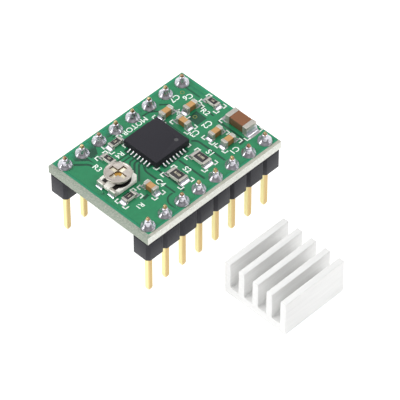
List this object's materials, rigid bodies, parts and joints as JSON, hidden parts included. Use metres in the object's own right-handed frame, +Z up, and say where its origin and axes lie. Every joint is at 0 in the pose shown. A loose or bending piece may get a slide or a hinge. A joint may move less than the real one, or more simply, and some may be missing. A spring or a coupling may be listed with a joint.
{
  "type": "stepper driver module",
  "caption": "Small plug-in circuit board with two header pin rows, a driver chip, a current trimmer and chip components, with its finned heatsink lying beside it.",
  "frame": {"origin": "centre of the pin pattern in the plane of the pin tips", "axes": "+X along the pin rows, from the trimmer end to the bulk capacitor end; +Y from the front row, which has the motor and supply pins, to the rear row; +Z up, out of the component side of the board"},
  "size_m": [0.0204, 0.0292, 0.0113],
  "materials": {
    "board_mask": "satin solder mask over woven glass laminate",
    "header_plastic": "moulded, slightly satin",
    "gold_plate": "thin bright gold plating",
    "solder": "reflowed tin alloy, softly glossy",
    "chip_plastic": "fine moulded, matt",
    "lead_frame": "matt tin plate",
    "silicon": "polished",
    "trimmer_ceramic": "unglazed alumina",
    "resistive_film": "screen-printed film",
    "rotor_metal": "stamped, nickel plated, satin",
    "wiper_brass": "spring brass",
    "capacitor_ceramic": "sintered, matt",
    "bulk_ceramic": "sintered, matt",
    "end_metal": "matt tin plate",
    "resistor_ceramic": "unglazed alumina",
    "resistor_coat": "glassy protective coat",
    "heatsink_aluminium": "extruded, matt, clear anodised",
    "thermal_tape": "soft, matt"
  },
  "bodies": {
    "module": {"circuit_board": "board_mask", "header_strip_front": "header_plastic", "header_strip_rear": "header_plastic", "pin_logic_ground": "gold_plate", "pin_logic_supply": "gold_plate", "pin_coil_1b": "gold_plate", "pin_coil_1a": "gold_plate", "pin_coil_2a": "gold_plate", "pin_coil_2b": "gold_plate", "pin_motor_ground": "gold_plate", "pin_motor_supply": "gold_plate", "pin_direction": "gold_plate", "pin_step": "gold_plate", "pin_sleep": "gold_plate", "pin_reset": "gold_plate", "pin_microstep_3": "gold_plate", "pin_microstep_2": "gold_plate", "pin_microstep_1": "gold_plate", "pin_enable": "gold_plate", "pin_solder_front": "solder", "pin_solder_rear": "solder", "chip_package": "chip_plastic", "chip_contacts": "lead_frame", "chip_die": "silicon", "chip_solder": "solder", "trimmer_base": "trimmer_ceramic", "trimmer_track": "resistive_film", "trimmer_terminals": "lead_frame", "capacitor_c1_body": "capacitor_ceramic", "capacitor_c2_body": "capacitor_ceramic", "capacitor_c3_body": "capacitor_ceramic", "capacitor_c4_body": "capacitor_ceramic", "capacitor_c5_body": "capacitor_ceramic", "capacitor_c6_body": "capacitor_ceramic", "capacitor_c1_ends": "end_metal", "capacitor_c2_ends": "end_metal", "capacitor_c3_ends": "end_metal", "capacitor_c4_ends": "end_metal", "capacitor_c5_ends": "end_metal", "capacitor_c6_ends": "end_metal", "bulk_capacitor_body": "bulk_ceramic", "bulk_capacitor_ends": "end_metal", "resistor_r1_body": "resistor_ceramic", "resistor_r2_body": "resistor_ceramic", "resistor_r3_body": "resistor_ceramic", "resistor_r4_body": "resistor_ceramic", "sense_resistor_1_body": "resistor_ceramic", "sense_resistor_2_body": "resistor_ceramic", "resistor_r1_ends": "end_metal", "resistor_r2_ends": "end_metal", "resistor_r3_ends": "end_metal", "resistor_r4_ends": "end_metal", "sense_resistor_1_ends": "end_metal", "sense_resistor_2_ends": "end_metal", "resistor_coats": "resistor_coat", "component_solder": "solder"},
    "trimmer_turn": {"trimmer_rotor": "rotor_metal", "trimmer_wiper": "wiper_brass"},
    "loose_heatsink": {"heatsink": "heatsink_aluminium", "heatsink_tape": "thermal_tape"}
  },
  "joints": [
    {"name": "trimmer_rotation", "type": "hinge", "parent": "module", "child": "trimmer_turn", "pos_m": [-0.0066, 0.0005, 0.01069], "axis": [0, 0, 1], "range_deg": [-130, 130]},
    {"name": "heatsink_lift", "type": "slide", "parent": "module", "child": "loose_heatsink", "axis": [0, 0, 1], "range_m": [0, 0.012]}
  ]
}
